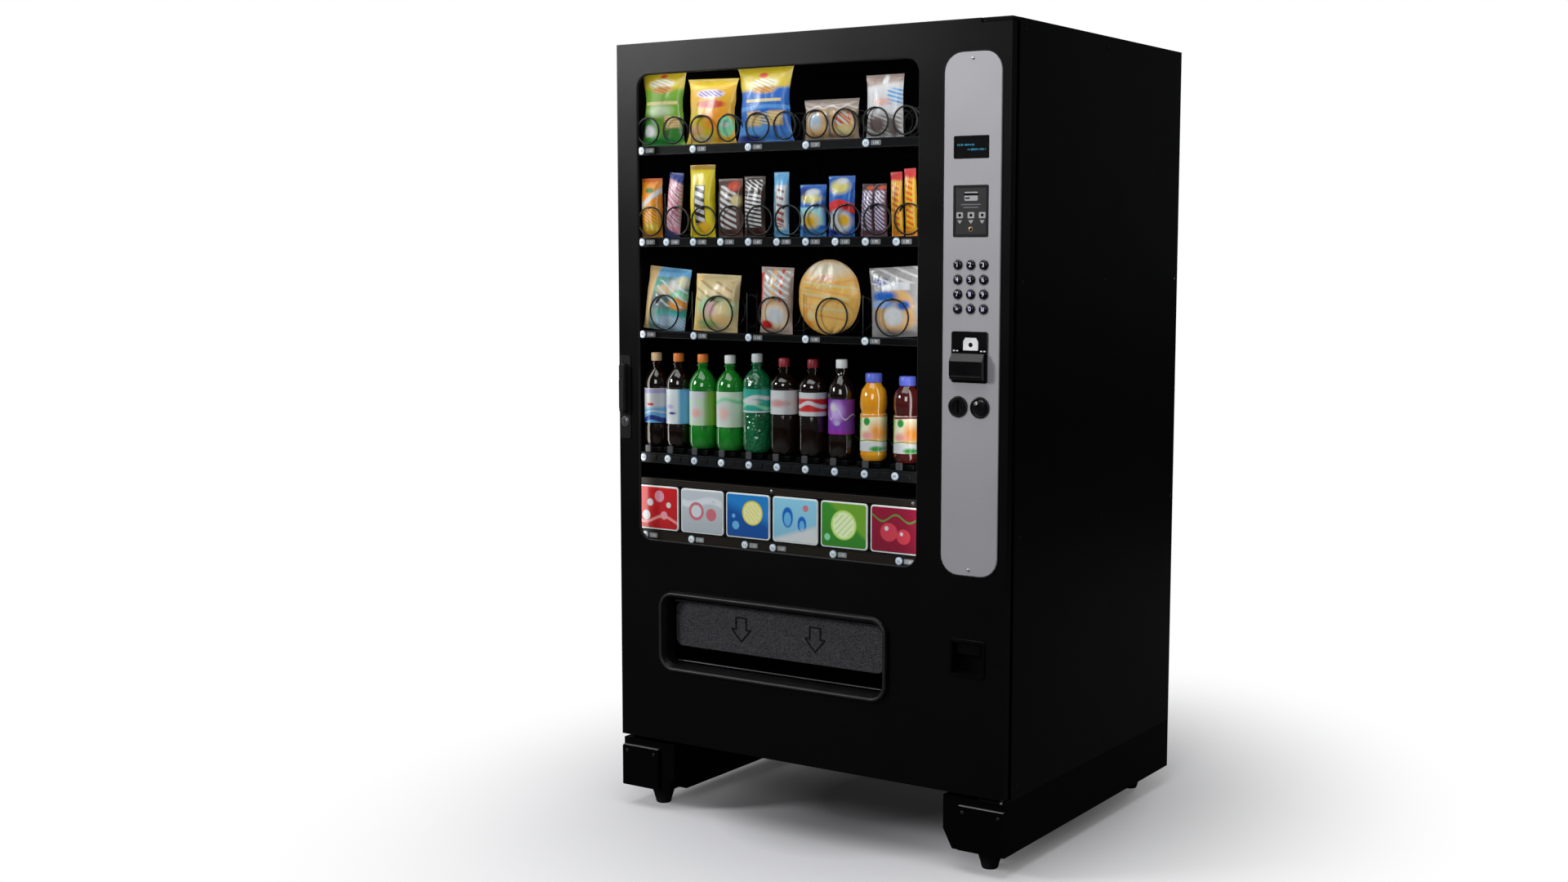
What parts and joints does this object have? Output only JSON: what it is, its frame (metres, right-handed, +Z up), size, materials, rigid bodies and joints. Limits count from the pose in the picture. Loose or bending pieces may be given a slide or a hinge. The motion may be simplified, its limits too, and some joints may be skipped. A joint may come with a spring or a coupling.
{
  "type": "snack vending machine",
  "caption": "Glass-front snack and cold drink vending machine with coil trays, keypad, note and coin payment, and a low delivery port with a swinging flap, on two skids.",
  "frame": {"origin": "centre of the footprint on the floor, below the middle of the overall box", "axes": "+Z up, the door and window face -Y, +X to the right of a person facing the machine"},
  "size_m": [1.053, 0.9366, 1.8546],
  "materials": {
    "body_black": "fine powder coat",
    "flap_grey": "pebbled",
    "galvanised": "galvanised",
    "glass": "clear",
    "key_black": "domed",
    "picture": "printed panel",
    "rubber": "matt",
    "satin_black": "satin",
    "silver": "silver paint",
    "steel": "zinc plated",
    "tray_black": "satin"
  },
  "bodies": {
    "cabinet": {"left_wall": "body_black", "right_wall": "body_black", "top_panel": "body_black", "back_panel": "galvanised", "floor_panel": "body_black", "partition_wall": "body_black", "skid_left": "body_black", "skid_right": "body_black", "skid_cover_left": "satin_black", "skid_cover_right": "satin_black", "hinge_bracket_bottom": "steel", "hinge_bracket_top": "steel", "refrigeration_unit": "galvanised", "delivery_bin": "body_black", "power_inlet": "satin_black"},
    "door": {"door_panel": "body_black", "window_glass": "glass", "door_gasket": "rubber", "control_panel": "silver", "display_module": "satin_black", "info_card": "satin_black", "keypad_frame": "satin_black", "bill_validator": "satin_black", "coin_slot": "satin_black", "coin_return_cup": "satin_black", "delivery_surround": "satin_black", "lock_plate": "satin_black", "coin_mechanism": "satin_black"},
    "tray_5": {"tray_5": "tray_black", "picture_panel": "picture"},
    "lock_handle": {"lock_handle": "satin_black"},
    "lock_cylinder": {"lock_cylinder": "steel"},
    "latch_bar": {"latch_bar": "steel"},
    "delivery_flap": {"delivery_flap": "flap_grey"},
    "coin_return_button": {"coin_return_button": "satin_black"},
    "condenser_fan": {"condenser_fan": "satin_black"},
    "coil_1_left": {"coil_1_left": "steel"},
    "coil_1_right": {"coil_1_right": "steel"},
    "coil_2": {"coil_2": "steel"},
    "coil_3": {"coil_3": "steel"},
    "foot_left_front": {"foot_left_front": "rubber"},
    "foot_left_rear": {"foot_left_rear": "rubber"},
    "foot_right_front": {"foot_right_front": "rubber"},
    "foot_right_rear": {"foot_right_rear": "rubber"},
    "tray_1": {"tray_1": "tray_black"},
    "tray_2": {"tray_2": "tray_black"},
    "tray_3": {"tray_3": "tray_black"},
    "tray_4": {"tray_4": "tray_black"},
    "key_1": {"key_1": "key_black"},
    "key_2": {"key_2": "key_black"},
    "key_3": {"key_3": "key_black"},
    "key_4": {"key_4": "key_black"},
    "key_5": {"key_5": "key_black"},
    "key_6": {"key_6": "key_black"},
    "key_7": {"key_7": "key_black"},
    "key_8": {"key_8": "key_black"},
    "key_9": {"key_9": "key_black"},
    "key_star": {"key_star": "key_black"},
    "key_0": {"key_0": "key_black"},
    "key_hash": {"key_hash": "key_black"}
  },
  "joints": [
    {"name": "door_hinge", "type": "hinge", "parent": "cabinet", "child": "door", "pos_m": [0.514, -0.4283, 0.18], "axis": [0, 0, 1], "range_deg": [0, 105]},
    {"name": "handle_turn", "type": "hinge", "parent": "door", "child": "lock_handle", "pos_m": [-0.508, -0.4463, 1.082], "axis": [0, 1, 0], "range_deg": [-90, 0]},
    {"name": "latch_slide", "type": "slide", "parent": "door", "child": "latch_bar", "axis": [0, 0, 1], "range_m": [-0.02, 0]},
    {"name": "lock_turn", "type": "hinge", "parent": "door", "child": "lock_cylinder", "pos_m": [-0.508, -0.4463, 0.955], "axis": [0, 1, 0], "range_deg": [0, 90]},
    {"name": "flap_swing", "type": "hinge", "parent": "door", "child": "delivery_flap", "pos_m": [-0.084, -0.4173, 0.524], "axis": [1, 0, 0], "range_deg": [0, 60]},
    {"name": "coin_return_push", "type": "slide", "parent": "door", "child": "coin_return_button", "axis": [0, 1, 0], "range_m": [0, 0.005], "stiffness_N_per_m": 200, "springref_m": -0.002},
    {"name": "key_1_push", "type": "slide", "parent": "door", "child": "key_1", "axis": [0, 1, 0], "range_m": [0, 0.0025], "stiffness_N_per_m": 300, "springref_m": -0.002},
    {"name": "key_2_push", "type": "slide", "parent": "door", "child": "key_2", "axis": [0, 1, 0], "range_m": [0, 0.0025], "stiffness_N_per_m": 300, "springref_m": -0.002},
    {"name": "key_3_push", "type": "slide", "parent": "door", "child": "key_3", "axis": [0, 1, 0], "range_m": [0, 0.0025], "stiffness_N_per_m": 300, "springref_m": -0.002},
    {"name": "key_4_push", "type": "slide", "parent": "door", "child": "key_4", "axis": [0, 1, 0], "range_m": [0, 0.0025], "stiffness_N_per_m": 300, "springref_m": -0.002},
    {"name": "key_5_push", "type": "slide", "parent": "door", "child": "key_5", "axis": [0, 1, 0], "range_m": [0, 0.0025], "stiffness_N_per_m": 300, "springref_m": -0.002},
    {"name": "key_6_push", "type": "slide", "parent": "door", "child": "key_6", "axis": [0, 1, 0], "range_m": [0, 0.0025], "stiffness_N_per_m": 300, "springref_m": -0.002},
    {"name": "key_7_push", "type": "slide", "parent": "door", "child": "key_7", "axis": [0, 1, 0], "range_m": [0, 0.0025], "stiffness_N_per_m": 300, "springref_m": -0.002},
    {"name": "key_8_push", "type": "slide", "parent": "door", "child": "key_8", "axis": [0, 1, 0], "range_m": [0, 0.0025], "stiffness_N_per_m": 300, "springref_m": -0.002},
    {"name": "key_9_push", "type": "slide", "parent": "door", "child": "key_9", "axis": [0, 1, 0], "range_m": [0, 0.0025], "stiffness_N_per_m": 300, "springref_m": -0.002},
    {"name": "key_star_push", "type": "slide", "parent": "door", "child": "key_star", "axis": [0, 1, 0], "range_m": [0, 0.0025], "stiffness_N_per_m": 300, "springref_m": -0.002},
    {"name": "key_0_push", "type": "slide", "parent": "door", "child": "key_0", "axis": [0, 1, 0], "range_m": [0, 0.0025], "stiffness_N_per_m": 300, "springref_m": -0.002},
    {"name": "key_hash_push", "type": "slide", "parent": "door", "child": "key_hash", "axis": [0, 1, 0], "range_m": [0, 0.0025], "stiffness_N_per_m": 300, "springref_m": -0.002},
    {"name": "tray_1_pull", "type": "slide", "parent": "cabinet", "child": "tray_1", "axis": [0, -1, 0], "range_m": [0, 0.025]},
    {"name": "tray_2_pull", "type": "slide", "parent": "cabinet", "child": "tray_2", "axis": [0, -1, 0], "range_m": [0, 0.025]},
    {"name": "tray_3_pull", "type": "slide", "parent": "cabinet", "child": "tray_3", "axis": [0, -1, 0], "range_m": [0, 0.025]},
    {"name": "tray_4_pull", "type": "slide", "parent": "cabinet", "child": "tray_4", "axis": [0, -1, 0], "range_m": [0, 0.025]},
    {"name": "tray_5_pull", "type": "slide", "parent": "cabinet", "child": "tray_5", "axis": [0, -1, 0], "range_m": [0, 0.025]},
    {"name": "coil_1_left_spin", "type": "hinge", "parent": "tray_1", "child": "coil_1_left", "pos_m": [-0.4695, -0.4023, 1.652], "axis": [0, 1, 0], "continuous": true},
    {"name": "coil_1_right_spin", "type": "hinge", "parent": "tray_1", "child": "coil_1_right", "pos_m": [-0.3935, -0.4023, 1.652], "axis": [0, 1, 0], "continuous": true},
    {"name": "coil_2_spin", "type": "hinge", "parent": "tray_2", "child": "coil_2", "pos_m": [-0.4641, -0.4023, 1.4366], "axis": [0, 1, 0], "continuous": true},
    {"name": "coil_3_spin", "type": "hinge", "parent": "tray_3", "child": "coil_3", "pos_m": [-0.4245, -0.4023, 1.219], "axis": [0, 1, 0], "continuous": true},
    {"name": "fan_spin", "type": "hinge", "parent": "cabinet", "child": "condenser_fan", "pos_m": [0.1135, 0.4037, 0.38], "axis": [0, 1, 0], "continuous": true},
    {"name": "foot_left_front_screw", "type": "hinge", "parent": "cabinet", "child": "foot_left_front", "pos_m": [-0.4565, -0.3718, 0], "axis": [0, 0, 1], "continuous": true},
    {"name": "foot_left_rear_screw", "type": "hinge", "parent": "cabinet", "child": "foot_left_rear", "pos_m": [-0.4565, 0.3933, 0], "axis": [0, 0, 1], "continuous": true},
    {"name": "foot_right_front_screw", "type": "hinge", "parent": "cabinet", "child": "foot_right_front", "pos_m": [0.4565, -0.3718, 0], "axis": [0, 0, 1], "continuous": true},
    {"name": "foot_right_rear_screw", "type": "hinge", "parent": "cabinet", "child": "foot_right_rear", "pos_m": [0.4565, 0.3933, 0], "axis": [0, 0, 1], "continuous": true}
  ],
  "couplings": [
    {"joint": "coil_1_right_spin", "follows": "coil_1_left_spin", "ratio": -1},
    {"joint": "latch_slide", "follows": "handle_turn", "m_per_rad": 0.0127}
  ]
}
